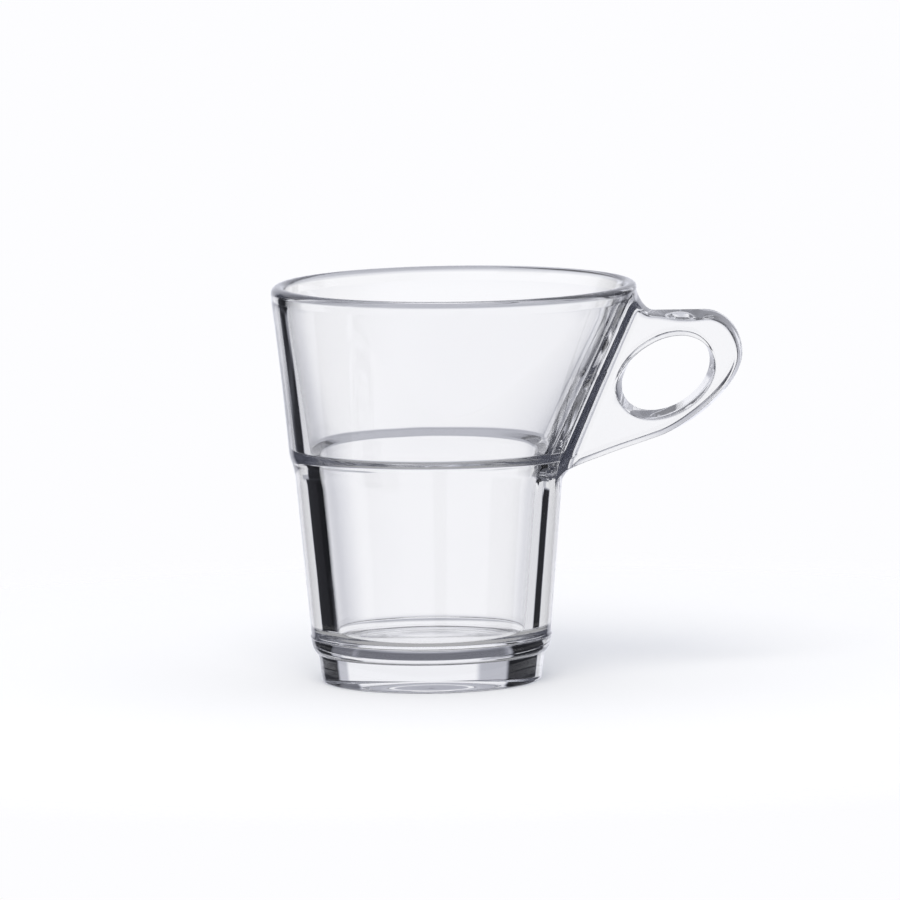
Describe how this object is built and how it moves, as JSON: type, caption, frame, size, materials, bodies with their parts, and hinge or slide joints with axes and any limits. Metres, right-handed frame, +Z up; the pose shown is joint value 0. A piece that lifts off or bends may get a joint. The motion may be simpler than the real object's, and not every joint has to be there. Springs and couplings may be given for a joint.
{
  "type": "espresso cup",
  "caption": "Clear glass stacking espresso cup: a flared bowl that leans to a loop handle, a narrower tapered bowl below it and a small round foot.",
  "frame": {"origin": "middle of the cup's whole footprint, handle included, on the table", "axes": "+X from the foot towards the handle, +Z up, +Y away from the viewer of the picture"},
  "size_m": [0.0802, 0.0624, 0.0678],
  "materials": {
    "foot_glass": "polished",
    "lower_bowl_glass": "polished",
    "upper_bowl_glass": "polished",
    "rim_ring_glass": "fire-polished",
    "handle_glass": "polished"
  },
  "bodies": {
    "root": {"foot": "foot_glass", "lower_bowl": "lower_bowl_glass", "upper_bowl": "upper_bowl_glass", "rim_ring": "rim_ring_glass", "handle": "handle_glass"}
  },
  "joints": []
}
